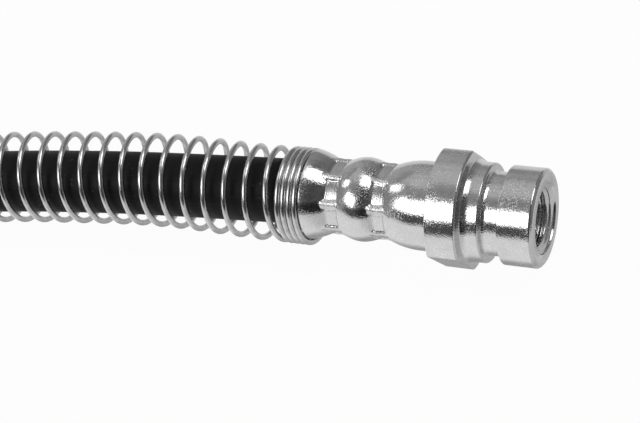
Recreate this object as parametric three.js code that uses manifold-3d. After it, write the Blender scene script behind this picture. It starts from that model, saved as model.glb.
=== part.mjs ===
// Brake hose: a rubber hose inside a wire spring guard, with a crimped female fitting at each end.
// Millimetres, +Z up. The hose lies on a surface at z = 0 and its near port opens along +X.
import * as THREE from 'three';
import { mergeVertices } from 'three/addons/utils/BufferGeometryUtils.js';
import Module from 'manifold-3d';

const wasm = await Module();
wasm.setup();

// Driving dimensions: clearances and fineness
const clearance = 0.3;
const turnedSides = 32;
const hoseSides = 12;
const insertSides = 12;

// Driving dimensions: barrel, clip groove and bracket land, back from the end face
const barrelRadius = 7.9;
const barrelLength = 5.65;
const barrelChamferLength = 0.55;
const barrelChamferDepth = 0.4;
const clipGrooveRadius = 6.7;
const clipGrooveWidth = 2.9;
const landRadius = 8.0;
const landLength = 3.05;
const landChamfer = 0.25;

// Driving dimensions: round collar with two parallel flats
const collarRadius = 10.1;
const collarLength = 5.0;
const collarChamfer = 0.25;
const acrossFlats = 17.5;

// Driving dimensions: crimped shell
const domeRadius = 7.25;
const domeStraight = 3.4;
const domeArcLength = 4.95;
const crimpRadius = 6.0;
const crimpWidth = 2.4;
const crimpJaws = 8;
const crimpTurn = THREE.MathUtils.degToRad(-3);
const bulgeRadius = 6.95;
const bulgeLength = 5.7;
const flareLength = 3.65;
const flareSwell = 0.15;
const shoulderRadius = 7.45;
const skirtRadius = 6.1;
const skirtLength = 4.95;

// Driving dimensions: threaded port and the socket for the hose
const portRadius = 4.5;
const portDepth = 11.0;
const countersinkRadius = 5.7;
const webLength = 7.8;
const socketRadius = 5.65;
const crimpedWall = 1.35;
const bulgeWall = 1.5;
const socketRamp = 1.4;

// Driving dimensions: tube insert that the hose is clamped on
const insertRadius = 1.6;
const insertBore = 1.0;
const seatRadius = 3.2;
const seatHeight = 2.5;
const seatTipRadius = 1.3;
const seatRim = 0.5;
const insertChamfer = 0.3;
const insertSetback = 3.0;

// Driving dimensions: hose
const hoseRadius = 5.35;
const hoseBore = 1.6;
const sweepOverlap = 2.0;
const sweepSteps = 28;

// Driving dimensions: spring guard
const wireRadius = 0.5;
const wireSides = 5;
const stepsPerTurn = 12;
const springRadius = 8.1;
const closedPitch = 1.03;
const openPitchAtEnds = 3.8;
const openPitchInMiddle = 4.04;
const openingLength = 2.6;
const openingLead = 0.485;
const spreadLength = 60;
const wireStartAngle = THREE.MathUtils.degToRad(-60);
const coilDroop = 0.6;
const droopLength = 22;
const guardRise = 0.05;
const hoseSag = 0.92;
const sagStart = 40;
const sagLength = 60;
const guardDrift = 0.97;
const driftLength = 30;
const driftBackStart = 45;
const driftBackLength = 50;

// Each fitting's turn about its own axis, which sets how its flats stand
const nearTurn = THREE.MathUtils.degToRad(-59);
const farTurn = THREE.MathUtils.degToRad(90);

// Route of the hose's centre line from one shell mouth to the other, measured from the near mouth
const route = [
  [0, 0, 0],
  [-10, -0.4, -0.2],
  [-20, -0.95, -0.32],
  [-30, -1.62, -0.44],
  [-40, -2.47, -0.63],
  [-50, -3.43, -0.9],
  [-59.9, -4.56, -1.31],
  [-69.8, -6.0, -1.8],
  [-79.6, -8.1, -2.29],
  [-89.2, -11.1, -2.72],
  [-98.3, -15.1, -2.92],
  [-106.8, -20.3, -2.6],
  [-114.5, -26.6, -2.14],
  [-121.4, -33.9, -1.66],
  [-127.1, -42.0, -1.21],
  [-131.8, -50.9, -0.83],
  [-135.2, -60.3, -0.58],
  [-137.4, -70.0, -0.42],
  [-138.5, -79.9, -0.3],
  [-138.9, -88.9, -0.18],
  [-138.9, -97.7, 0],
];

// Stations along a fitting, as distances back from its end face
const grooveFront = barrelLength;
const landFront = grooveFront + clipGrooveWidth;
const collarFront = landFront + landLength;
const collarBack = collarFront + collarLength;
const domeArcFront = collarBack + domeStraight;
const crimpTwoFront = domeArcFront + domeArcLength;
const crimpTwoBack = crimpTwoFront + crimpWidth;
const crimpOneFront = crimpTwoBack + bulgeLength;
const crimpOneBack = crimpOneFront + crimpWidth;
const shoulderBack = crimpOneBack + flareLength;
const fittingLength = shoulderBack + skirtLength;
const socketBottom = portDepth + webLength;

const plated = { color: 0xc8cbce, metalness: 0.95, roughness: 0.28 };
const bright = { color: 0xd4d6d8, metalness: 0.95, roughness: 0.22 };
const rubber = { color: 0x19191b, metalness: 0.0, roughness: 0.62 };

// Points of a circular arc from one profile point to another, standing out by the given height
function arcPoints(from, to, height, count) {
  const chord = new THREE.Vector2().subVectors(to, from);
  const half = chord.length() / 2;
  const radius = (half * half + height * height) / (2 * height);
  const along = chord.clone().normalize();
  const out = new THREE.Vector2(-along.y, along.x);
  const middle = new THREE.Vector2().addVectors(from, to).multiplyScalar(0.5);
  const points = [];
  for (let i = 1; i < count; i++) {
    const reach = half * (2 * i / count - 1);
    const rise = Math.sqrt(radius * radius - reach * reach) - (radius - height);
    points.push(middle.clone().addScaledVector(along, reach).addScaledVector(out, rise));
  }
  return points;
}

// Corners of a regular polygon that stands for a circle
function ringPoints(radius, sides) {
  const points = [];
  for (let i = 0; i < sides; i++) {
    const angle = 2 * Math.PI * i / sides;
    points.push(new THREE.Vector2(radius * Math.cos(angle), radius * Math.sin(angle)));
  }
  return points;
}

// Profile point at a distance back from the end face; the turning axis is Y
function at(station, radius) {
  return new THREE.Vector2(radius, -station);
}

// Closed ring of revolution about Y from a profile that runs round the material
function turned(profile, sides, startAngle = 0) {
  return new THREE.LatheGeometry([...profile, profile[0]], sides, startAngle, 2 * Math.PI);
}

// Solid for joining and cutting, from a closed geometry
function toSolid(geometry) {
  const plain = geometry.clone();
  plain.deleteAttribute('normal');
  plain.deleteAttribute('uv');
  const merged = mergeVertices(plain, 1e-4);
  return new wasm.Manifold(new wasm.Mesh({
    numProp: 3,
    vertProperties: Float32Array.from(merged.attributes.position.array),
    triVerts: Uint32Array.from(merged.index.array),
  }));
}

// Geometry from a joined or cut solid
function toGeometry(solid) {
  const mesh = solid.getMesh();
  const geometry = new THREE.BufferGeometry();
  geometry.setAttribute('position', new THREE.BufferAttribute(mesh.vertProperties, 3));
  geometry.setIndex(new THREE.BufferAttribute(mesh.triVerts, 1));
  geometry.computeVertexNormals();
  return geometry;
}

// Outside of a fitting from the end face back to the shell mouth
function fittingOutside() {
  const domeStart = at(domeArcFront, domeRadius);
  const crimpTwoStart = at(crimpTwoFront, crimpRadius);
  const domeDrop = domeRadius - crimpRadius;
  const domeChord = Math.hypot(domeArcLength, domeDrop);
  const domeCurve = (domeArcLength ** 2 + domeDrop ** 2) / (2 * domeDrop);
  const domeHeight = domeCurve - Math.sqrt(domeCurve ** 2 - (domeChord / 2) ** 2);
  const bulgeStart = at(crimpTwoBack, crimpRadius);
  const bulgeEnd = at(crimpOneFront, crimpRadius);
  const flareStart = at(crimpOneBack, crimpRadius);
  const flareEnd = at(shoulderBack, shoulderRadius);
  return [
    at(0, barrelRadius - barrelChamferDepth),
    at(barrelChamferLength, barrelRadius),
    at(grooveFront, barrelRadius),
    at(grooveFront, clipGrooveRadius),
    at(landFront, clipGrooveRadius),
    at(landFront, landRadius - landChamfer),
    at(landFront + landChamfer, landRadius),
    at(collarFront, landRadius),
    at(collarFront, collarRadius - collarChamfer),
    at(collarFront + collarChamfer, collarRadius),
    at(collarBack, collarRadius),
    at(collarBack, domeRadius),
    domeStart,
    ...arcPoints(domeStart, crimpTwoStart, domeHeight, 5),
    crimpTwoStart,
    bulgeStart,
    ...arcPoints(bulgeStart, bulgeEnd, bulgeRadius - crimpRadius, 6),
    bulgeEnd,
    flareStart,
    ...arcPoints(flareStart, flareEnd, flareSwell, 3),
    flareEnd,
    at(shoulderBack, skirtRadius),
    at(fittingLength, skirtRadius),
  ];
}

// Wall of the socket from the shell mouth to its bottom, drawn in by the given amount
function socketWall(inset) {
  const wide = socketRadius - inset;
  const pressed = crimpRadius - crimpedWall - inset;
  const relaxed = bulgeRadius - bulgeWall - inset;
  return [
    at(shoulderBack, wide),
    at(crimpOneBack, pressed),
    at(crimpOneFront, pressed),
    at(crimpOneFront - socketRamp, relaxed),
    at(crimpTwoBack + socketRamp, relaxed),
    at(crimpTwoBack, pressed),
    at(crimpTwoFront, pressed),
    at(crimpTwoFront - 2 * socketRamp, wide),
  ];
}

// Presses the two crimp grooves into as many flat panels as the press has jaws
function pressCrimps(geometry) {
  const position = geometry.attributes.position;
  const panel = 2 * Math.PI / crimpJaws;
  const reach = 1e-3;
  for (let i = 0; i < position.count; i++) {
    const station = -position.getY(i);
    const radius = Math.hypot(position.getX(i), position.getZ(i));
    const inTwo = station > crimpTwoFront - reach && station < crimpTwoBack + reach;
    const inOne = station > crimpOneFront - reach && station < crimpOneBack + reach;
    if ((inTwo || inOne) && Math.abs(radius - crimpRadius) < reach) {
      const angle = Math.atan2(position.getX(i), position.getZ(i)) - crimpTurn;
      const fromPanel = angle - panel * Math.round(angle / panel);
      const stretch = 1 / Math.cos(fromPanel);
      position.setX(i, position.getX(i) * stretch);
      position.setZ(i, position.getZ(i) * stretch);
    }
  }
}

// One-piece end fitting: port and barrel, clip groove, land, collar and crimped shell
function fittingGeometry() {
  const profile = [
    ...fittingOutside(),
    at(fittingLength, socketRadius),
    ...socketWall(0),
    at(socketBottom, socketRadius),
    at(socketBottom, insertRadius + clearance),
    at(portDepth, insertRadius + clearance),
    at(portDepth, portRadius),
    at(countersinkRadius - portRadius, portRadius),
    at(0, countersinkRadius),
  ];
  const firstRidge = crimpTurn + Math.PI / crimpJaws;
  const body = turned(profile.reverse(), turnedSides, firstRidge);
  pressCrimps(body);
  const span = 2 * fittingLength;
  const slab = new THREE.BoxGeometry(4 * collarRadius, 2 * span, acrossFlats);
  return toGeometry(toSolid(body).intersect(toSolid(slab)));
}

// Stepped tube with the coned pipe seat, from the port down into the hose's bore
function insertGeometry() {
  const seatBack = portDepth - clearance;
  const tip = seatBack - seatHeight;
  const tail = fittingLength - insertSetback;
  const profile = [
    at(tip, insertBore),
    at(tip, seatTipRadius),
    at(seatBack - seatRim, seatRadius),
    at(seatBack, seatRadius),
    at(seatBack, insertRadius),
    at(tail - insertChamfer, insertRadius),
    at(tail, insertRadius - insertChamfer),
    at(tail, insertBore),
  ];
  return turned(profile.reverse(), insertSides);
}

// End of the hose, squeezed between the crimped shell and the insert
function hoseEndGeometry() {
  const bore = insertRadius + clearance;
  const bottom = socketBottom + clearance;
  const lip = fittingLength - sweepOverlap / 2;
  const profile = [
    at(lip, bore),
    at(lip, hoseRadius),
    ...socketWall(clearance),
    at(bottom, socketRadius - clearance),
    at(bottom, bore),
  ];
  return turned(profile, hoseSides);
}

// Free stretch of the hose between the two shell mouths
function freeHoseGeometry(path) {
  const section = new THREE.Shape(ringPoints(hoseRadius, hoseSides));
  section.holes.push(new THREE.Path(ringPoints(hoseBore, hoseSides)));
  return new THREE.ExtrudeGeometry(section, { steps: sweepSteps, bevelEnabled: false, extrudePath: path });
}

const axisHeight = collarRadius;
const nearMouth = new THREE.Vector3(-fittingLength, 0, axisHeight);
const nearOut = new THREE.Vector3(1, 0, 0);
const farOut = new THREE.Vector3(0, -1, 0);
const up = new THREE.Vector3(0, 0, 1);
const routePoints = route.map((point) => new THREE.Vector3(...point).add(nearMouth));
const farMouth = routePoints[routePoints.length - 1];
const hoseLine = new THREE.CatmullRomCurve3(routePoints);
hoseLine.arcLengthDivisions = 2000;
const freeLength = hoseLine.getLength();

// Centre line that runs on into both shells, for sweeping the free hose
function sweepPath() {
  const inNear = nearMouth.clone().addScaledVector(nearOut, sweepOverlap);
  const inFar = farMouth.clone().addScaledVector(farOut, sweepOverlap);
  return new THREE.CatmullRomCurve3([inNear, ...routePoints, inFar]);
}

// Smooth step from 0 to 1
function ease(value) {
  const t = THREE.MathUtils.clamp(value, 0, 1);
  return t * t * (3 - 2 * t);
}

// Distance out of the nearer shell mouth; it is negative on the skirts
function outOfMouth(station) {
  return Math.min(station, freeLength - station);
}

// Pitch of the coils: closed on the skirts, open on the free hose and widest in its middle
function pitchAt(station) {
  const out = outOfMouth(station);
  const spread = ease(out / spreadLength) * (openPitchInMiddle - openPitchAtEnds);
  const opened = ease((out + openingLead) / openingLength) * (openPitchAtEnds - closedPitch);
  return closedPitch + opened + spread;
}

// Direction to the side of a line that runs along the given direction, and the direction up from it
function acrossLine(along) {
  const side = new THREE.Vector3().crossVectors(up, along).normalize();
  return { side, lift: new THREE.Vector3().crossVectors(along, side) };
}

// Middle of a coil: it droops on the skirts, drifts outwards in the bend and rides on the sagging hose
function coilMiddle(station) {
  const inside = THREE.MathUtils.clamp(station, 0, freeLength);
  const along = hoseLine.getTangentAt(inside / freeLength).normalize();
  const point = hoseLine.getPointAt(inside / freeLength);
  if (station < 0) along.copy(nearOut).negate();
  if (station > freeLength) along.copy(farOut);
  point.addScaledVector(along, station - inside);
  const { side, lift } = acrossLine(along);
  const out = outOfMouth(station);
  const rise = ease(out / droopLength) * (coilDroop + guardRise) - coilDroop;
  const sag = ease((out - sagStart) / sagLength) * hoseSag;
  const drift = ease(out / driftLength) - ease((out - driftBackStart) / driftBackLength);
  point.addScaledVector(lift, rise + sag);
  point.addScaledVector(side, -drift * guardDrift);
  return point;
}

// Middle of a coil with the directions to its side and up, square to the line of the coils
function springFrame(station) {
  const reach = 0.5;
  const along = coilMiddle(station + reach).sub(coilMiddle(station - reach)).normalize();
  return { point: coilMiddle(station), ...acrossLine(along) };
}

// Centre line of the spring wire
class WireLine extends THREE.Curve {
  constructor() {
    super();
    const firstCoil = -(skirtLength - wireRadius);
    this.stations = [firstCoil];
    while (this.stations[this.stations.length - 1] < freeLength - firstCoil) {
      const last = this.stations[this.stations.length - 1];
      this.stations.push(last + pitchAt(last) / stepsPerTurn);
    }
    this.steps = this.stations.length - 1;
    this.arcLengthDivisions = 4 * this.steps;
  }

  getPoint(t, target = new THREE.Vector3()) {
    const place = t * this.steps;
    const index = Math.min(Math.floor(place), this.steps - 1);
    const station = THREE.MathUtils.lerp(this.stations[index], this.stations[index + 1], place - index);
    const angle = wireStartAngle + 2 * Math.PI * place / stepsPerTurn;
    const { point, side, lift } = springFrame(station);
    const radius = springRadius - wireRadius;
    target.copy(point);
    target.addScaledVector(lift, radius * Math.cos(angle));
    target.addScaledVector(side, -radius * Math.sin(angle));
    return target;
  }
}

// Round wire wound along its centre line
function springGeometry() {
  const line = new WireLine();
  const section = new THREE.Shape(ringPoints(wireRadius, wireSides));
  return new THREE.ExtrudeGeometry(section, { steps: line.steps, bevelEnabled: false, extrudePath: line });
}

// Named mesh with a material of its own
function piece(name, geometry, look) {
  const mesh = new THREE.Mesh(geometry, new THREE.MeshStandardMaterial(look));
  mesh.name = name;
  return mesh;
}

// Group at the middle of an end face whose +Y points out of the port
function endGroup(mouth, outward) {
  const group = new THREE.Group();
  group.position.copy(mouth).addScaledVector(outward, fittingLength);
  group.quaternion.setFromUnitVectors(new THREE.Vector3(0, 1, 0), outward);
  return group;
}

// Both hose ends and the free stretch as one body
function hoseGeometry(nearEnd, farEnd) {
  let solid = toSolid(freeHoseGeometry(sweepPath()));
  for (const end of [nearEnd, farEnd]) {
    end.updateMatrixWorld();
    solid = solid.add(toSolid(hoseEndGeometry().applyMatrix4(end.matrixWorld)));
  }
  return toGeometry(solid);
}

// The whole hose assembly
function brakeHose() {
  const model = new THREE.Group();
  const nearEnd = endGroup(nearMouth, nearOut);
  const farEnd = endGroup(farMouth, farOut);
  const nearFitting = piece('near_fitting', fittingGeometry(), plated);
  const farFitting = piece('far_fitting', fittingGeometry(), plated);
  nearFitting.rotation.y = nearTurn;
  farFitting.rotation.y = farTurn;
  nearEnd.add(nearFitting, piece('near_insert', insertGeometry(), plated));
  farEnd.add(farFitting, piece('far_insert', insertGeometry(), plated));
  model.add(piece('hose', hoseGeometry(nearEnd, farEnd), rubber));
  model.add(piece('spring_guard', springGeometry(), bright));
  model.add(nearEnd, farEnd);
  return model;
}

const brakeHoseModel = brakeHose();
brakeHoseModel.updateMatrixWorld(true);
const bounds = new THREE.Box3().setFromObject(brakeHoseModel, true);
const middle = bounds.getCenter(new THREE.Vector3());
brakeHoseModel.position.set(-middle.x, -middle.y, -bounds.min.z);

export default brakeHoseModel;
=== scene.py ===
"""Brake hose: fine fittings, inserts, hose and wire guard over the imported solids, in soft studio light.

Lengths are worked out in millimetres and put into the meshes in metres.
"""
import math
import bpy
import numpy as np
from mathutils import Matrix, Vector


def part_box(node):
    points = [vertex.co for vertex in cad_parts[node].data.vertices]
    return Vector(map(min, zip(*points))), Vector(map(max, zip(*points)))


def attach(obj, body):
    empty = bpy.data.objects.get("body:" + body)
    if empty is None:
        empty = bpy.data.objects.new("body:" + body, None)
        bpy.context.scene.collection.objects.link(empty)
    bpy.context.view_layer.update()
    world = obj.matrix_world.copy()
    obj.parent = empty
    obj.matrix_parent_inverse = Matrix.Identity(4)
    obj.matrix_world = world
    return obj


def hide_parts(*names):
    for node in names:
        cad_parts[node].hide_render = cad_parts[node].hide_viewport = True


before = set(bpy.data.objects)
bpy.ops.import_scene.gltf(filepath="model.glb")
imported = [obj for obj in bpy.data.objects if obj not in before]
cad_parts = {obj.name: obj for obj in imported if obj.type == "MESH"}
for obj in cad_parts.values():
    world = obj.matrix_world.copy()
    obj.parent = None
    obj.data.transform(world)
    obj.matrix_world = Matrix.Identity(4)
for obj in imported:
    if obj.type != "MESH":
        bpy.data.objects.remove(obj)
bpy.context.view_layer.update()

scene = bpy.context.scene
MM = 0.001
TURN = 2 * np.pi

# Sizes of the end fitting, as distances back from its end face and as radii
BARREL_RADIUS = 7.9
BARREL_BACK = 5.65
GROOVE_RADIUS = 6.7
GROOVE_BACK = 8.55
LAND_RADIUS = 8.0
COLLAR_FRONT = 11.6
COLLAR_BACK = 16.6
COLLAR_RADIUS = 10.1
ACROSS_FLATS = 17.5
DOME_RADIUS = 7.25
DOME_ARC_FRONT = 20.0
CRIMPS = ((24.95, 27.35), (33.05, 35.45))
PANEL_RADIUS = 5.9
CRIMP_RIM = 6.22
BULGE_HEIGHT = 0.72
SHOULDER_RADIUS = 7.45
SKIRT_FRONT = 39.1
SKIRT_RADIUS = 6.1
FITTING_LENGTH = 44.05
SOCKET_RADIUS = 5.65
SOCKET_BOTTOM = 18.8
PORT_DEPTH = 11.0
PORT_RADIUS = 4.5
DRILL_RADIUS = 1.9
SOCKET_NECK = 4.65
SOCKET_WAIST = 5.45
COUNTERSINK_RADIUS = 5.7
COUNTERSINK_STEP = 0.35
THREAD_PITCH = 1.0
THREAD_ROOT = 5.0
THREAD_CREST = 4.46
THREAD_DEPTH = 9.0
JAWS = 8
FIRST_RIDGE = 23.0
RIDGE_RADIUS = 6.40
RIDGE_HALF_WIDTH = 0.74
RIDGE_FRONT_TAPER = 2.6
RIDGE_BACK_TAPER = 1.3
CREASE_DEPTH = 0.02
DIP_DEPTH = 0.16
MIDDLE_OF_RIDGE = 6.2
NEAR_FLATS_TURN = 31
FITTING_COLUMNS = 272
FRONT, DOME, CRIMP_TWO, BULGE, CRIMP_ONE, FLARE, BACK, PORT = range(8)

# Sizes of the tube insert, as distances back from the fitting's end face and as radii
SEAT_FRONT = 8.2
SEAT_BACK = 10.2
SEAT_RIM_BACK = 10.7
SEAT_RADIUS = 3.2
STEM_RADIUS = 1.6
STEM_BORE = 1.0
STEM_BACK = 41.05

# Sizes of the hose and of the wire guard
HOSE_RADIUS = 5.35
COVER_SWELL = 0.08
TUBE_COLUMNS = 72
HOSE_BORE = 1.9
SQUEEZED_RADIUS = 4.4
BULGED_RADIUS = 5.1
WIRE_RADIUS = 0.5
SPRING_RADIUS = 8.1
CLOSED_PITCH = 1.03
OPEN_PITCH_AT_ENDS = 3.8
OPEN_PITCH_IN_MIDDLE = 4.04
OPENING_LENGTH = 1.2
OPENING_LEAD = 0.98
SPREAD_LENGTH = 60.0
WIRE_START_ANGLE = math.radians(-240)
DEAD_TURN = 95 / 360
SEEN_ANGLE = math.radians(-40)
LEAN = 1.1
LEAN_LENGTH = 5.0
FIRST_COIL = -4.45
COIL_DROOP = 0.75
DROOP_LENGTH = 22.0
GUARD_RISE = 0.05
HOSE_SAG = 0.92
SAG_START = 40.0
SAG_LENGTH = 60.0
GUARD_DRIFT = 0.97
DRIFT_LENGTH = 30.0
DRIFT_BACK_START = 45.0
DRIFT_BACK_LENGTH = 50.0
STEPS_PER_TURN = 12
FINE_STEPS_PER_TURN = 48
WIRE_COLUMNS = 16

# The photo's camera: its place from the near end face in metres, and two of its directions
CAMERA_PLACE = (0.0656, -0.1546, 0.1872)
CAMERA_RIGHT = (0.91381, 0.33228, -0.23354)
CAMERA_DOWN = (0.10302, -0.74586, -0.65809)

# Route of the hose's centre line from one shell mouth to the other, measured from the near mouth
ROUTE = np.array([
    (0, 0, 0), (-10, -0.4, -0.2), (-20, -0.95, -0.32), (-30, -1.62, -0.44), (-40, -2.47, -0.63),
    (-50, -3.43, -0.9), (-59.9, -4.56, -1.31), (-69.8, -6.0, -1.8), (-79.6, -8.1, -2.29),
    (-89.2, -11.1, -2.72), (-98.3, -15.1, -2.92), (-106.8, -20.3, -2.6), (-114.5, -26.6, -2.14),
    (-121.4, -33.9, -1.66), (-127.1, -42.0, -1.21), (-131.8, -50.9, -0.83), (-135.2, -60.3, -0.58),
    (-137.4, -70.0, -0.42), (-138.5, -79.9, -0.3), (-138.9, -88.9, -0.18), (-138.9, -97.7, 0),
], float)


def middle(node):
    """Centre of a solid's box, in millimetres."""
    low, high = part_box(node)
    return np.array((low + high) / 2) / MM


near_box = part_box("near_fitting")
far_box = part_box("far_fitting")
NEAR_FACE = np.array([near_box[1].x / MM, *middle("near_insert")[1:]])
FAR_FACE = np.array([middle("far_insert")[0], far_box[0].y / MM, middle("far_insert")[2]])
tilt = math.radians(NEAR_FLATS_TURN)
NEAR_END = {
    "face": NEAR_FACE,
    "out": np.array([1.0, 0.0, 0.0]),
    "flat": np.array([0.0, math.cos(tilt), math.sin(tilt)]),
    "side": np.array([0.0, -math.sin(tilt), math.cos(tilt)]),
}
FAR_END = {
    "face": FAR_FACE,
    "out": np.array([0.0, -1.0, 0.0]),
    "flat": np.array([-1.0, 0.0, 0.0]),
    "side": np.array([0.0, 0.0, -1.0]),
}


def ease(value):
    """Smooth step from 0 to 1."""
    t = np.clip(value, 0, 1)
    return t * t * (3 - 2 * t)


def unit(vectors):
    """Vectors scaled to length one, along the last axis."""
    return vectors / np.linalg.norm(vectors, axis=-1, keepdims=True)


def lengths(points):
    """Distance gone along a row of points, from 0 at the first."""
    return np.concatenate([[0], np.cumsum(np.linalg.norm(np.diff(points, axis=0), axis=1))])


def turned(end, s, r, angle):
    """Points at stations and radii round a fitting's axis: face - s out + r (cos flat + sin side)."""
    return (end["face"] - s[..., None] * end["out"]
            + (r * np.cos(angle))[..., None] * end["flat"]
            + (r * np.sin(angle))[..., None] * end["side"])


def skin(name, grid, loop, across, node, material, marks=None):
    """Piece from a grid of points in millimetres, rows along and columns round.

    Neighbouring points make four-sided faces. Columns always close. Rows close too where loop is
    true, and else each end row is closed by a fan to its middle point. The order of the corners is
    turned over where the enclosed volume, a sum of p0 . (p1 x p2) over the faces, is negative.
    The UV map holds the row's distance in metres and the share of a turn.
    """
    rows, cols = grid.shape[:2]
    points = grid.reshape(-1, 3)
    row = np.arange(rows if loop else rows - 1)[:, None]
    col = np.arange(cols)[None, :]
    row2 = (row + 1) % rows
    col2 = (col + 1) % cols
    quads = np.stack([row * cols + col, row * cols + col2, row2 * cols + col2, row2 * cols + col], -1)
    quads = quads.reshape(-1, 4)
    v = np.stack([col + 0 * row, col + 1 + 0 * row, col + 1 + 0 * row, col + 0 * row], -1) / cols
    along2 = np.append(across, across[-1] + (across[-1] - across[-2]))
    u = np.stack([along2[row + 0 * col], along2[row + 0 * col], along2[row + 1 + 0 * col],
                  along2[row + 1 + 0 * col]], -1)
    uv = np.stack([u, v], -1).reshape(-1, 4, 2)
    fans = np.zeros((0, 3), int)
    fan_uv = np.zeros((0, 3, 2))
    if not loop:
        poles = np.array([grid[0].mean(0), grid[-1].mean(0)])
        first = len(points)
        points = np.vstack([points, poles])
        ring = np.arange(cols)
        nxt = (ring + 1) % cols
        last = (rows - 1) * cols
        fans = np.vstack([
            np.stack([nxt, ring, np.full(cols, first)], -1),
            np.stack([last + ring, last + nxt, np.full(cols, first + 1)], -1),
        ])
        fan_uv = np.zeros((2 * cols, 3, 2))
        fan_uv[:cols, :, 0] = across[0]
        fan_uv[cols:, :, 0] = across[-1]
        fan_uv[:, :, 1] = np.tile(ring, 2)[:, None] / cols
    a, b, c, d = points[quads].transpose(1, 0, 2)
    volume = (a * np.cross(b, c)).sum() + (a * np.cross(c, d)).sum()
    e, f, g = points[fans].transpose(1, 0, 2)
    volume += (e * np.cross(f, g)).sum()
    if volume < 0:
        quads, uv = quads[:, ::-1], uv[:, ::-1]
        fans, fan_uv = fans[:, ::-1], fan_uv[:, ::-1]
    corners = np.concatenate([quads.ravel(), fans.ravel()])
    starts = np.concatenate([np.arange(len(quads)) * 4, 4 * len(quads) + np.arange(len(fans)) * 3])
    mesh = bpy.data.meshes.new(name)
    mesh.vertices.add(len(points))
    mesh.vertices.foreach_set("co", (points * MM).astype(np.float32).ravel())
    mesh.loops.add(len(corners))
    mesh.loops.foreach_set("vertex_index", corners.astype(np.int32))
    mesh.polygons.add(len(starts))
    mesh.polygons.foreach_set("loop_start", starts.astype(np.int32))
    mesh.update(calc_edges=True)
    mesh.polygons.foreach_set("use_smooth", np.ones(len(starts), bool))
    layer = mesh.uv_layers.new(name="along_and_round")
    both = np.concatenate([uv.reshape(-1, 2), fan_uv.reshape(-1, 2)])
    layer.data.foreach_set("uv", both.astype(np.float32).ravel())
    for label, values in (marks or {}).items():
        field = mesh.attributes.new(label, "FLOAT", "POINT")
        padded = np.zeros(len(points))
        padded[: rows * cols] = values.ravel()
        field.data.foreach_set("value", padded.astype(np.float32))
    mesh.materials.append(material)
    piece = bpy.data.objects.new(name, mesh)
    scene.collection.objects.link(piece)
    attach(piece, "root")
    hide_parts(node)
    return piece


def rounded(corners, steps=6, guard=0.05):
    """Profile through corners of (station, radius, rounding), as an array of points.

    A corner with a rounding becomes a parabola between two points at that distance along its
    sides, with one more point a little before and after it, so that the sides stay straight.
    """
    corners = np.array(corners, float)
    out = [corners[0, :2]]
    for before, here, after in zip(corners[:-2], corners[1:-1], corners[2:]):
        if here[2] == 0:
            out.append(here[:2])
            continue
        back, ahead = before[:2] - here[:2], after[:2] - here[:2]
        room = 0.45 * min(np.linalg.norm(back), np.linalg.norm(ahead))
        size = min(here[2], room)
        p1 = here[:2] + size * unit(back)
        p2 = here[:2] + size * unit(ahead)
        t = np.linspace(0, 1, steps + 1)[:, None]
        if room > size + guard:
            out.append(p1 + guard * unit(back))
        out.extend((1 - t) ** 2 * p1 + 2 * t * (1 - t) * here[:2] + t ** 2 * p2)
        if room > size + guard:
            out.append(p2 + guard * unit(ahead))
    out.append(corners[-1, :2])
    return np.array(out)


def stretch(start, end, count):
    """Evenly spaced stations from start to end, both included."""
    return np.linspace(start, end, count)


def crimp_floor(front, back):
    """Profile across a crimp groove between its two short walls, with a narrow dip at the hose's side."""
    s = stretch(front + 0.10, back - 0.22, 17)
    dip = DIP_DEPTH * np.exp(-((s - (back - 0.36)) / 0.13) ** 2)
    return np.stack([s, PANEL_RADIUS - dip], -1)


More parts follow.
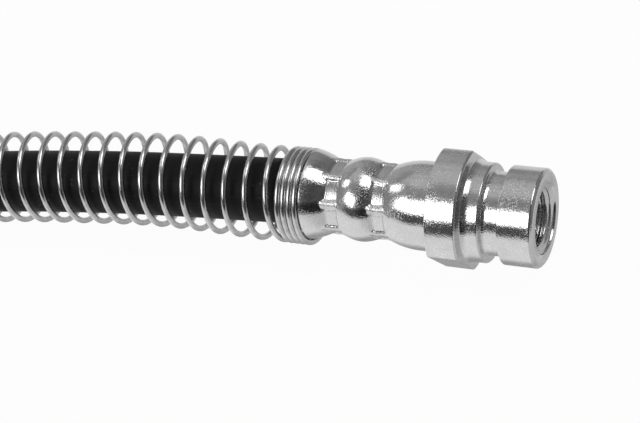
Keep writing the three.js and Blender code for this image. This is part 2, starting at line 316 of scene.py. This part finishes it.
def fitting_profile():
    """Closed profile of the fitting: outside from the end face to the shell mouth, then inside.

    Returns the points and, for each, the stretch that it is on, from FRONT to PORT.
    The dome is a circular arc that starts level. The bulge between the crimps is four parts of a
    circular arc and one part of a raised cosine. The flare up to the shoulder is a parabola that
    goes from 29 to 12 degrees.
    """
    (two_front, two_back), (one_front, one_back) = CRIMPS
    front = rounded([
        (0, COUNTERSINK_RADIUS, 0), (0, BARREL_RADIUS - 0.5, 0.1), (0.4, BARREL_RADIUS, 0.2),
        (BARREL_BACK, BARREL_RADIUS, 0.12), (BARREL_BACK, GROOVE_RADIUS, 0.18),
        (GROOVE_BACK - 0.6, GROOVE_RADIUS, 0.25),
        (GROOVE_BACK - 0.1, GROOVE_RADIUS + 0.16, 0.15), (GROOVE_BACK, LAND_RADIUS - 0.22, 0.07),
        (GROOVE_BACK + 0.22, LAND_RADIUS, 0.09), (COLLAR_FRONT - 1.1, LAND_RADIUS, 0.5),
        (COLLAR_FRONT - 0.2, LAND_RADIUS + 0.29, 0.2),
        (COLLAR_FRONT, COLLAR_RADIUS - 0.25, 0.09), (COLLAR_FRONT + 0.25, COLLAR_RADIUS, 0.1),
        (COLLAR_BACK, COLLAR_RADIUS, 0.14), (COLLAR_BACK, DOME_RADIUS, 0.25),
        (DOME_ARC_FRONT - 0.6, DOME_RADIUS, 0),
    ])
    s = stretch(DOME_ARC_FRONT, two_front - 0.05, 20)
    reach = two_front - DOME_ARC_FRONT
    drop = DOME_RADIUS - CRIMP_RIM
    bend = (reach ** 2 + drop ** 2) / (2 * drop)
    dome = np.stack([s, DOME_RADIUS - bend + np.sqrt(bend ** 2 - (s - DOME_ARC_FRONT) ** 2)], -1)
    s = stretch(two_back + 0.05, one_front - 0.05, 27)
    half = (one_front - two_back) / 2
    bend = (half ** 2 + BULGE_HEIGHT ** 2) / (2 * BULGE_HEIGHT)
    away = s - (two_back + one_front) / 2
    arc = BULGE_HEIGHT - bend + np.sqrt(bend ** 2 - away ** 2)
    wave = BULGE_HEIGHT * (0.5 + 0.5 * np.cos(np.pi * away / half))
    bulge = np.stack([s, CRIMP_RIM + 0.8 * arc + 0.2 * wave], -1)
    s = stretch(one_back + 0.05, SKIRT_FRONT - 0.2, 18)
    away = s - one_back
    flare = np.stack([s, SHOULDER_RADIUS - 1.40 + 0.554 * away - 0.0449 * away ** 2], -1)
    rim = flare[-1, 1] + 0.04
    back = rounded([
        (*(flare[-1] + [0.01, 0.002]), 0), (SKIRT_FRONT, rim, 0.12),
        (SKIRT_FRONT, SKIRT_RADIUS, 0.12),
        (FITTING_LENGTH, SKIRT_RADIUS, 0.12), (FITTING_LENGTH, SOCKET_RADIUS, 0.12),
        (SKIRT_FRONT - 1.1, SOCKET_RADIUS, 0), (one_back, SOCKET_NECK, 0), (one_front, SOCKET_NECK, 0),
        (one_front - 1.4, SOCKET_WAIST, 0), (two_back + 1.4, SOCKET_WAIST, 0), (two_back, SOCKET_NECK, 0),
        (two_front, SOCKET_NECK, 0), (two_front - 2.8, SOCKET_RADIUS, 0),
        (SOCKET_BOTTOM, SOCKET_RADIUS, 0), (SOCKET_BOTTOM, DRILL_RADIUS, 0),
        (PORT_DEPTH, DRILL_RADIUS, 0.1), (PORT_DEPTH, PORT_RADIUS, 0.2),
        (PORT_DEPTH - 1.2, PORT_RADIUS, 0),
    ])
    s = np.concatenate([stretch(9.6, 5.0, 26), stretch(4.9, 0.02, 50)])
    port = np.stack([s, np.full(len(s), PORT_RADIUS)], -1)
    parts = [front, dome, crimp_floor(two_front, two_back), bulge, crimp_floor(one_front, one_back),
             flare, back, port]
    kinds = np.concatenate([np.full(len(p), k) for k, p in enumerate(parts)])
    return np.vstack(parts), kinds


def soft_least(a, b, k):
    """Lesser of two values with a small rounding k where they meet."""
    low = np.minimum(a, b)
    return low - k * np.log1p(np.exp(-np.abs(a - b) / k))


def draw_in_collar(outside, s, base, angle):
    """Radius with the collar's two flats.

    The collar's rim is the lesser of its radius and flat / |cos(angle)|. The edges in front of its
    middle and behind it are drawn in, in proportion, from the shoulder and from the dome's radius.
    """
    flat = ACROSS_FLATS / 2 / np.abs(np.cos(angle))
    rim = soft_least(np.full_like(angle, COLLAR_RADIUS), flat, 0.03)
    shoulder = LAND_RADIUS + 0.3
    centre = (COLLAR_FRONT + COLLAR_BACK) / 2
    in_front = outside & (s > COLLAR_FRONT - 0.25) & (s < centre) & (base > shoulder)
    behind = outside & (s >= centre) & (base > DOME_RADIUS)
    r = base + 0 * angle
    for where, inner in ((in_front, shoulder), (behind, DOME_RADIUS)):
        drawn = inner + (base - inner) * (rim - inner) / (COLLAR_RADIUS - inner)
        r = np.where(where, drawn, r)
    return r


def press_crimps(r, kinds, s, angle, random):
    """Radius with the jaws' panels and ridges, and where it is pressed and where worn.

    The floor goes half way from a cylinder to flat panels, r / cos(angle from the panel's middle).
    Between panels a ridge rises to its own radius by 1 - (distance / half width)^2, with a crease
    at its foot. Beyond the groove the ridge narrows, on the hose's side to a spur. Each ridge has
    its own place, height and width, and wanders a little.
    """
    worn = 0 * r
    pressed = np.isin(kinds, (CRIMP_TWO, CRIMP_ONE)) + 0 * angle
    step = TURN / JAWS
    first = math.radians(FIRST_RIDGE)
    number = np.round((angle - first) / step).astype(int)
    from_panel = angle - first - step / 2
    from_panel = from_panel - step * np.round(from_panel / step)
    panel = PANEL_RADIUS * (1 / np.cos(from_panel) - 1) * 0.5
    r = np.where(pressed > 0, r + panel, r)
    for front, back in CRIMPS:
        shift = np.radians(random.uniform(-1.0, 1.0, JAWS))[number % JAWS]
        top = RIDGE_RADIUS + random.uniform(-0.07, 0.05, JAWS)[number % JAWS]
        top = top + 0.03 * np.sin(4.0 * s + 3.0 * number)
        width = RIDGE_HALF_WIDTH * random.uniform(0.9, 1.1, JAWS)[number % JAWS]
        wander = 0.06 * np.sin(2.2 * s + 5.0 * number)
        away = np.abs((angle - first - number * step - shift) * MIDDLE_OF_RIDGE + wander)
        narrower = np.maximum(0, RIDGE_FRONT_TAPER * (front - s))
        narrower = narrower + np.maximum(0, RIDGE_BACK_TAPER * (s - back))
        foot = width - narrower
        rise = np.clip(1 - (away / np.maximum(foot, 1e-6)) ** 2, 0, 1)
        near = np.isin(kinds, (DOME, CRIMP_TWO, BULGE, CRIMP_ONE, FLARE)) & (foot > 0)
        rise = np.where(near, rise, 0)
        crease = CREASE_DEPTH * np.exp(-((away - foot - 0.12) / 0.22) ** 2) * (pressed > 0)
        r = r + np.maximum(top - r, 0) * rise - crease * (s > front - 0.1) * (s < back + 0.1)
        worn = np.maximum(worn, rise * (r > PANEL_RADIUS + 0.1) * (narrower < 0.6))
    return r, pressed, worn


def port_radius(s, angle):
    """Radius of the port: the thread's trapezium wave of station less pitch times turns.

    The thread fades out at its depth, and the countersink, steep and then shallow, cuts it off.
    """
    wave = (s - THREAD_PITCH * angle / TURN) / THREAD_PITCH
    wave = np.abs(wave - np.round(wave)) * 2
    tooth = np.clip((wave - 0.125) / (0.75 - 0.125), 0, 1)
    thread = THREAD_ROOT + (THREAD_CREST - THREAD_ROOT) * tooth
    fade = ease((THREAD_DEPTH + 0.6 - s) / 0.6)
    thread = PORT_RADIUS + (thread - PORT_RADIUS) * fade
    steep = COUNTERSINK_RADIUS - 0.35 * s
    shallow = COUNTERSINK_RADIUS - 0.12 - 1.9 * (s - COUNTERSINK_STEP)
    return np.maximum(thread, np.minimum(steep, shallow))


def fitting(name, end, node, material, seed):
    """End fitting as rings of points round its axis: a turned profile with local changes."""
    random = np.random.default_rng(seed)
    profile, kinds = fitting_profile()
    kinds = kinds[:, None]
    angle = TURN * np.arange(FITTING_COLUMNS)[None, :] / FITTING_COLUMNS
    s = profile[:, :1] + 0 * angle
    r = draw_in_collar(kinds == FRONT, s, profile[:, 1:], angle)
    r, pressed, worn = press_crimps(r, kinds, s, angle, random)
    r = np.where(kinds == PORT, port_radius(s, angle), r)
    marks = {"pressed": pressed.astype(float), "worn": worn, "station": s * MM}
    across = lengths(profile) * MM
    return skin(name, turned(end, s, r, angle), True, across, node, material, marks)


def insert(name, end, node, material):
    """Tube insert as a turned profile: the coned pipe seat, its rim and the long stem."""
    profile = rounded([
        (SEAT_FRONT, STEM_BORE + 0.15, 0), (SEAT_FRONT, STEM_BORE + 0.3, 0.06),
        (SEAT_BACK, SEAT_RADIUS, 0.1), (SEAT_RIM_BACK, SEAT_RADIUS, 0.08),
        (SEAT_RIM_BACK, STEM_RADIUS, 0.1), (STEM_BACK - 0.3, STEM_RADIUS, 0.1),
        (STEM_BACK, STEM_RADIUS - 0.3, 0.08), (STEM_BACK, STEM_BORE, 0.05),
        (SEAT_FRONT, STEM_BORE, 0.05), (SEAT_FRONT, STEM_BORE + 0.14, 0),
    ])
    angle = TURN * np.arange(TUBE_COLUMNS)[None, :] / TUBE_COLUMNS
    s = profile[:, :1] + 0 * angle
    r = profile[:, 1:] + 0 * angle
    marks = {"pressed": 0 * s, "worn": 0 * s, "station": s * MM}
    across = lengths(profile) * MM
    return skin(name, turned(end, s, r, angle), True, across, node, material, marks)


def hose_line():
    """Dense points of the centripetal Catmull-Rom curve through the route, with their lengths.

    Each span is a cubic from its two points and the two slopes that unequal knots give them,
    the knots being the square roots of the distances.
    """
    points = ROUTE + NEAR_FACE - FITTING_LENGTH * NEAR_END["out"]
    ends = np.vstack([2 * points[0] - points[1], points, 2 * points[-1] - points[-2]])
    gaps = np.sqrt(np.linalg.norm(np.diff(ends, axis=0), axis=1))[:, None]
    p0, p1, p2, p3 = ends[:-3], ends[1:-2], ends[2:-1], ends[3:]
    g0, g1, g2 = gaps[:-2], gaps[1:-1], gaps[2:]
    m1 = ((p1 - p0) / g0 - (p2 - p0) / (g0 + g1) + (p2 - p1) / g1) * g1
    m2 = ((p2 - p1) / g1 - (p3 - p1) / (g1 + g2) + (p3 - p2) / g2) * g1
    t = (np.arange(60) / 60)[None, :, None]
    p1, p2, m1, m2 = (a[:, None, :] for a in (p1, p2, m1, m2))
    curve = p1 + m1 * t + (3 * p2 - 3 * p1 - 2 * m1 - m2) * t ** 2 + (2 * p1 - 2 * p2 + m1 + m2) * t ** 3
    curve = np.vstack([curve.reshape(-1, 3), points[-1:]])
    return curve, lengths(curve)


LINE, LINE_LENGTH = hose_line()
FREE_LENGTH = LINE_LENGTH[-1]


def along_hose(station):
    """Point, side, lift and direction of the hose line at stations from the near mouth, in mm.

    The line runs straight on into both shells. Side is up x direction, and lift is direction x side.
    """
    inside = np.clip(station, 0, FREE_LENGTH)
    point = np.stack([np.interp(inside, LINE_LENGTH, LINE[:, k]) for k in range(3)], -1)
    slope = unit(np.gradient(LINE, LINE_LENGTH, axis=0))
    ahead = unit(np.stack([np.interp(inside, LINE_LENGTH, slope[:, k]) for k in range(3)], -1))
    ahead = np.where((station < 0)[..., None], -NEAR_END["out"], ahead)
    ahead = np.where((station > FREE_LENGTH)[..., None], FAR_END["out"], ahead)
    point = point + (station - inside)[..., None] * ahead
    side = unit(np.cross(np.array([0.0, 0.0, 1.0]), ahead))
    return point, side, np.cross(ahead, side), ahead


def hose(material):
    """Rubber hose: one ring of material carried along the hose line.

    Outer radius over station, squeezed under the two crimps of each shell, then back along the bore.
    """
    shell = FITTING_LENGTH
    (two_front, two_back), (one_front, one_back) = CRIMPS
    end = np.array([
        (SOCKET_BOTTOM + 0.3, HOSE_RADIUS), (two_front - 2.75, HOSE_RADIUS),
        (two_front - 0.05, SQUEEZED_RADIUS), (two_back + 0.05, SQUEEZED_RADIUS),
        (two_back + 1.45, BULGED_RADIUS), (one_front - 1.45, BULGED_RADIUS),
        (one_front - 0.05, SQUEEZED_RADIUS), (one_back + 0.05, SQUEEZED_RADIUS),
        (one_back + 2.75, HOSE_RADIUS), (shell, HOSE_RADIUS),
    ])
    near = np.stack([end[:, 0] - shell, end[:, 1]], -1)
    free = np.linspace(0, FREE_LENGTH, 322)[1:-1]
    free = np.stack([free, np.full(len(free), HOSE_RADIUS + COVER_SWELL)], -1)
    far = np.stack([FREE_LENGTH + shell - end[::-1, 0], end[::-1, 1]], -1)
    outer = np.vstack([near, free, far])
    first, last = outer[0, 0], outer[-1, 0]
    free_bore = np.linspace(FREE_LENGTH - 1, 1, 100)
    inner_s = np.concatenate([[last, FREE_LENGTH + 0.2], free_bore, [-0.2, first]])
    inner = np.stack([inner_s, np.full(len(inner_s), HOSE_BORE)], -1)
    profile = np.vstack([[first, HOSE_BORE + 1.2], outer, [last, HOSE_BORE + 1.2], inner])
    angle = TURN * np.arange(TUBE_COLUMNS) / TUBE_COLUMNS
    point, side, lift, _ = along_hose(profile[:, 0])
    r = profile[:, 1][:, None, None]
    grid = (point[:, None, :] + r * np.cos(angle)[None, :, None] * lift[:, None, :]
            - r * np.sin(angle)[None, :, None] * side[:, None, :])
    piece = skin("rubber_hose", grid, True, lengths(profile) * MM, "hose", material)
    path = along_hose(np.linspace(first, last, 60))[0] * MM
    return piece


def pitch_at(station):
    """Pitch of the coils: closed on the skirts, open on the free hose and widest in its middle."""
    out = min(station, FREE_LENGTH - station)
    spread = ease(out / SPREAD_LENGTH) * (OPEN_PITCH_IN_MIDDLE - OPEN_PITCH_AT_ENDS)
    opened = ease((out + OPENING_LEAD) / OPENING_LENGTH) * (OPEN_PITCH_AT_ENDS - CLOSED_PITCH)
    return CLOSED_PITCH + opened + spread


def coil_middle(station):
    """Middles of the coils: drooping on the skirts, drifting outwards in the bend, riding on the hose.

    Point of the hose line, plus lift times an eased rise and sag, less side times an eased drift.
    """
    point, side, lift, _ = along_hose(station)
    out = np.minimum(station, FREE_LENGTH - station)[:, None]
    rise = ease(out / DROOP_LENGTH) * (COIL_DROOP + GUARD_RISE) - COIL_DROOP
    sag = ease((out - SAG_START) / SAG_LENGTH) * HOSE_SAG
    drift = ease(out / DRIFT_LENGTH) - ease((out - DRIFT_BACK_START) / DRIFT_BACK_LENGTH)
    return point + lift * (rise + sag) - side * drift * GUARD_DRIFT


def wire_line():
    """Centre line of the wire: a circle of turns carried along the line of the coils' middles.

    The first part of a turn lies flat on the shoulder. The open turns lean: the half away from the
    photo's camera runs on along the hose by LEAN ((1 - cos angle) / 2)^2. Returns the points, the
    outward directions, the wire's own direction and the turns gone by.
    """
    stations = [FIRST_COIL, FIRST_COIL]
    while stations[-1] < FREE_LENGTH - FIRST_COIL:
        stations.append(stations[-1] + pitch_at(stations[-1]) / STEPS_PER_TURN)
    turns = np.append(0, DEAD_TURN + np.arange(len(stations) - 1) / STEPS_PER_TURN)
    fine = np.linspace(0, turns[-1], int(turns[-1] * FINE_STEPS_PER_TURN))
    station = np.interp(fine, turns, stations)
    spin = WIRE_START_ANGLE + TURN * fine
    centre = coil_middle(station)
    ahead = unit(coil_middle(station + 0.5) - coil_middle(station - 0.5))
    side = unit(np.cross(np.array([0.0, 0.0, 1.0]), ahead))
    lift = np.cross(ahead, side)
    radius = SPRING_RADIUS - WIRE_RADIUS
    outward = lift * np.cos(spin)[:, None] - side * np.sin(spin)[:, None]
    behind = ((1 - np.cos(spin - SEEN_ANGLE)) / 2) ** 2
    share = ease(np.minimum(station, FREE_LENGTH - station) / LEAN_LENGTH)
    line = centre + radius * outward + ahead * (LEAN * share * behind)[:, None]
    return line, outward, unit(np.gradient(line, axis=0)), fine


def wire_guard(material):
    """Round wire: a circle of the wire's radius carried along the wire line, ground thin at the ends."""
    line, outward, ahead, turns = wire_line()
    outward = unit(outward - (outward * ahead).sum(-1, keepdims=True) * ahead)
    across = np.cross(ahead, outward)
    angle = TURN * np.arange(WIRE_COLUMNS) / WIRE_COLUMNS
    radius = WIRE_RADIUS * (0.5 + 0.5 * ease(np.minimum(turns, turns[-1] - turns) / DEAD_TURN))
    around = (np.cos(angle)[None, :, None] * outward[:, None, :]
              + np.sin(angle)[None, :, None] * across[:, None, :])
    grid = line[:, None, :] + radius[:, None, None] * around
    across_rows = lengths(line) * MM
    return skin("wire_guard", grid, False, across_rows, "spring_guard", material)


class Field:
    """A value, colour or vector that varies over a surface, held as a node's output socket."""

    def __init__(self, tree, socket):
        self.tree = tree
        self.socket = socket

    def maths(self, operation, *others):
        return self.tree.make("ShaderNodeMath", {"operation": operation}, [self, *others])

    def __add__(self, other):
        return self.maths("ADD", other)

    __radd__ = __add__

    def __mul__(self, other):
        return self.maths("MULTIPLY", other)

    __rmul__ = __mul__

    def __sub__(self, other):
        return self.maths("SUBTRACT", other)

    def __rsub__(self, other):
        return self.tree.make("ShaderNodeMath", {"operation": "SUBTRACT"}, [other, self])

    def __truediv__(self, other):
        return self.maths("DIVIDE", other)

    def size(self):
        return self.maths("ABSOLUTE")

    def ramp(self, low, high):
        """Smooth step: 0 at low and 1 at high. Low may be the larger of the two."""
        node = {"interpolation_type": "SMOOTHSTEP"}
        if low < high:
            return self.tree.make("ShaderNodeMapRange", node, [self, low, high, 0.0, 1.0])
        return self.tree.make("ShaderNodeMapRange", node, [self, high, low, 1.0, 0.0])


class Shading:
    """A node tree with one method that makes every node."""

    def __init__(self, owner):
        owner.use_nodes = True
        self.nodes = owner.node_tree.nodes
        self.links = owner.node_tree.links
        self.nodes.clear()

    def make(self, kind, settings=None, values=(), output=0):
        """Node of a type: its settings first, then its sockets by order or by name."""
        node = self.nodes.new(kind)
        for key, value in (settings or {}).items():
            setattr(node, key, value)
        pairs = values.items() if isinstance(values, dict) else enumerate(values)
        for key, value in pairs:
            if isinstance(value, Field):
                self.links.new(value.socket, node.inputs[key])
            else:
                node.inputs[key].default_value = value
        return Field(self, node.outputs[output]) if len(node.outputs) else node

    def mix(self, share, first, second):
        """Colour between two colours."""
        settings = {"data_type": "RGBA"}
        return self.make("ShaderNodeMix", settings, {0: share, 6: first, 7: second}, 2)

    def noise(self, place, scale, detail=2.0, rough=0.5):
        """Noise from 0 to 1 at that many cells a metre."""
        values = {"Vector": place, "Scale": scale, "Detail": detail, "Roughness": rough}
        return self.make("ShaderNodeTexNoise", {}, values)


def grey(value, blue=0.0):
    """Opaque colour of one brightness with a trace of blue."""
    return (value, value, value + blue, 1.0)


def plated_steel():
    """Bright zinc plate: fine grain, rough light specks in patches, clouds, rings and jaw marks."""
    material = bpy.data.materials.new("bright_zinc_plate")
    tree = Shading(material)
    place = tree.make("ShaderNodeTexCoord", {}, (), "Object")
    station = tree.make("ShaderNodeAttribute", {"attribute_name": "station"}, (), "Fac")
    pressed = tree.make("ShaderNodeAttribute", {"attribute_name": "pressed"}, (), "Fac")
    worn = tree.make("ShaderNodeAttribute", {"attribute_name": "worn"}, (), "Fac")
    grain = tree.noise(place, 3600.0, 2.0, 0.6)
    clouds = tree.noise(place, 420.0, 2.0, 0.5)
    rings = tree.make("ShaderNodeTexNoise", {"noise_dimensions": "1D"},
                      {"W": station, "Scale": 9000.0, "Detail": 1.0})
    marks = tree.make("ShaderNodeTexNoise", {"noise_dimensions": "1D"},
                      {"W": station, "Scale": 5200.0, "Detail": 1.0})
    height = grain * (0.022 + worn * 0.02) + rings * 0.0015 + pressed * marks * 0.04
    bump = tree.make("ShaderNodeBump", {}, {"Strength": 1.0, "Distance": MM, "Height": height})
    patches = tree.noise(place, 260.0, 2.0, 0.5).ramp(0.42, 0.62)
    specks = tree.noise(place, 4300.0, 1.0, 0.5).ramp(0.46, 0.62) * (0.35 + patches * 0.65)
    rough = 0.075 + clouds.ramp(0.35, 0.75) * 0.03 + specks * 0.27 + pressed * 0.03 + worn * 0.22
    colour = tree.mix(clouds.ramp(0.3, 0.8), grey(0.65, 0.004), grey(0.61, 0.004))
    colour = tree.mix(specks * 0.7, colour, grey(0.88, 0.003))
    colour = tree.mix(grain.ramp(0.42, 0.30) * 0.10, colour, grey(0.40, 0.003))
    shader = tree.make("ShaderNodeBsdfPrincipled", {}, {
        "Base Color": colour, "Metallic": 1.0, "Roughness": rough, "Normal": bump,
    })
    tree.make("ShaderNodeOutputMaterial", {}, {"Surface": shader})
    return material


def bright_wire():
    """Drawn wire: fine lines along its length and small cloudy spots."""
    material = bpy.data.materials.new("bright_drawn_wire")
    tree = Shading(material)
    place = tree.make("ShaderNodeTexCoord", {}, (), "Object")
    uv = tree.make("ShaderNodeUVMap", {"uv_map": "along_and_round"})
    stretched = tree.make("ShaderNodeMapping", {}, {"Vector": uv, "Scale": (300.0, 14.0, 1.0)})
    lines = tree.noise(stretched, 1.0, 2.0, 0.6)
    spots = tree.noise(place, 900.0, 2.0, 0.5)
    height = lines * 0.003 + spots * 0.002
    bump = tree.make("ShaderNodeBump", {}, {"Strength": 1.0, "Distance": MM, "Height": height})
    rough = 0.20 + spots.ramp(0.4, 0.8) * 0.08
    colour = tree.mix(spots.ramp(0.35, 0.75), grey(0.64, 0.003), grey(0.56, 0.003))
    shader = tree.make("ShaderNodeBsdfPrincipled", {}, {
        "Base Color": colour, "Metallic": 1.0, "Roughness": rough, "Normal": bump,
    })
    tree.make("ShaderNodeOutputMaterial", {}, {"Surface": shader})
    return material


def satin_rubber():
    """Smooth black rubber: fine pores, faint bloom, lengthwise streaks and a few light specks."""
    material = bpy.data.materials.new("satin_black_rubber")
    tree = Shading(material)
    place = tree.make("ShaderNodeTexCoord", {}, (), "Object")
    uv = tree.make("ShaderNodeUVMap", {"uv_map": "along_and_round"})
    stretched = tree.make("ShaderNodeMapping", {}, {"Vector": uv, "Scale": (60.0, 40.0, 1.0)})
    streaks = tree.noise(stretched, 1.0, 2.0, 0.6)
    bloom = tree.noise(place, 160.0, 3.0, 0.55)
    pores = tree.noise(place, 2600.0, 2.0, 0.6)
    specks = tree.noise(place, 1500.0, 0.0, 0.5).ramp(0.77, 0.83)
    height = pores * 0.006 + bloom * 0.02
    bump = tree.make("ShaderNodeBump", {}, {"Strength": 1.0, "Distance": MM, "Height": height})
    colour = tree.mix(bloom.ramp(0.35, 0.75), grey(0.006), grey(0.009))
    colour = tree.mix(streaks.ramp(0.55, 0.75) * 0.6, colour, grey(0.016))
    colour = tree.mix(specks * 0.7, colour, grey(0.05))
    rough = 0.50 + bloom.ramp(0.3, 0.8) * 0.1
    shader = tree.make("ShaderNodeBsdfPrincipled", {}, {
        "Base Color": colour, "Roughness": rough, "Normal": bump,
    })
    shader.socket.node.inputs["Specular IOR Level"].default_value = 0.18
    tree.make("ShaderNodeOutputMaterial", {}, {"Surface": shader})
    return material


def studio_sky():
    """Studio round the object, by direction.

    A grey room, darker behind the camera, with three lamps, and a pale lower half that fades
    straight below.
    """
    world = bpy.data.worlds.new("studio")
    scene.world = world
    tree = Shading(world)
    ahead = tree.make("ShaderNodeTexCoord", {}, (), "Generated")

    def towards(vector):
        settings = {"operation": "DOT_PRODUCT"}
        return tree.make("ShaderNodeVectorMath", settings, [ahead, tuple(vector)], "Value")

    def lamp(centre, across, wide, tall, soft):
        """Mask of a flat lamp: inside half sizes of the tangents of its two angles."""
        centre = unit(np.array(centre, float))
        across = np.array(across, float)
        across = unit(across - (across @ centre) * centre)
        rise = np.cross(centre, across)
        depth = towards(centre)
        x = (towards(across) / depth).size()
        y = (towards(rise) / depth).size()
        inside = x.ramp(wide, wide - soft) * y.ramp(tall, tall - soft)
        return inside * depth.ramp(0.0, 0.05)

    x, y, z = towards((1, 0, 0)), towards((0, 1, 0)), towards((0, 0, 1))
    clutter = tree.noise(ahead, 7.0, 2.0, 0.6) - 0.5
    level = 0.44 - z.ramp(0.35, 0.7) * 0.13
    level = level * (1.0 - x.ramp(-0.74, -0.9) * 0.35)
    level = level * (1.0 - x.ramp(-0.2, 0.3) * 0.5)
    level = level * (1.0 - y.ramp(0.15, -0.3) * x.ramp(-0.15, 0.2) * 0.5)
    level = level * (1.0 - y.ramp(0.8, 0.98) * 0.35)
    level = level * (1.0 - y.ramp(-0.5, -0.8) * z.ramp(0.46, 0.36) * 0.8)
    level = level * (1.0 + clutter * (0.4 + z.ramp(0.3, 0.6) * 1.8 + x.ramp(0.0, 0.3)))
    level = level + towards(unit(np.array((-0.27, 0.38, 0.88)))).ramp(0.91, 0.98) * 0.24
    main = lamp((-0.420, -0.647, 0.636), (0.839, -0.545, 0), 0.355, 0.265, 0.05)
    left = lamp((-0.715, 0.075, 0.695), (-0.10, -1.0, 0), 0.155, 0.16, 0.05)
    over = lamp((0.33, 0.21, 0.92), (1, 0, 0), 0.33, 0.29, 0.07)
    level = level + main * 3.2 + left * 2.6 + over * 3.0
    below = (z + x * 0.1 + 0.075).ramp(0.03, -0.03)
    fading = 1.0 - x.ramp(-0.15, 0.1) * 0.5
    ground = 0.92 - (z - y * 0.25).ramp(-0.80, -0.98) * 0.54 * fading
    ground = ground * (1.0 - y.ramp(0.5, 0.95) * 0.2) * (1.0 - x.ramp(-0.05, 0.3) * 0.3)
    level = level * (1.0 - below) + below * ground
    sky = tree.make("ShaderNodeBackground", {}, {"Color": grey(1.0), "Strength": level})
    tree.make("ShaderNodeOutputWorld", {}, {"Surface": sky})


def floor():
    """Pale floor: a wide square that glows evenly, takes a trace of shadow and isn't mirrored."""
    half, drop = 3.0, -0.0002
    corners = [(-half, -half, drop), (half, -half, drop), (half, half, drop), (-half, half, drop)]
    mesh = bpy.data.meshes.new("pale_floor")
    mesh.from_pydata(corners, [], [(0, 1, 2, 3)])
    material = bpy.data.materials.new("pale_floor")
    tree = Shading(material)
    shader = tree.make("ShaderNodeBsdfPrincipled", {}, {
        "Base Color": grey(0.03), "Roughness": 1.0, "Emission Color": grey(1.0),
        "Emission Strength": 0.96,
    })
    shader.socket.node.inputs["Specular IOR Level"].default_value = 0.0
    tree.make("ShaderNodeOutputMaterial", {}, {"Surface": shader})
    mesh.materials.append(material)
    plane = bpy.data.objects.new("pale_floor", mesh)
    plane.visible_glossy = False
    scene.collection.objects.link(plane)


def camera():
    """The photo's camera, placed from the near end face."""
    data = bpy.data.cameras.new("camera")
    data.lens = 90
    data.sensor_width = 36
    data.clip_start = 0.01
    data.clip_end = 20
    eye = bpy.data.objects.new("camera", data)
    scene.collection.objects.link(eye)
    right = Vector(CAMERA_RIGHT).normalized()
    back = right.cross(-Vector(CAMERA_DOWN)).normalized()
    up = back.cross(right).normalized()
    place = Vector(NEAR_FACE * MM) + Vector(CAMERA_PLACE)
    eye.matrix_world = Matrix.Translation(place) @ Matrix((right, up, back)).transposed().to_4x4()
    scene.camera = eye


plate = plated_steel()
fitting("near_fitting_fine", NEAR_END, "near_fitting", plate, 3)
fitting("far_fitting_fine", FAR_END, "far_fitting", plate, 4)
insert("near_insert_fine", NEAR_END, "near_insert", plate)
insert("far_insert_fine", FAR_END, "far_insert", plate)
hose(satin_rubber())
wire_guard(bright_wire())
studio_sky()
floor()
camera()
scene.view_settings.view_transform = "Standard"
scene.view_settings.look = "None"
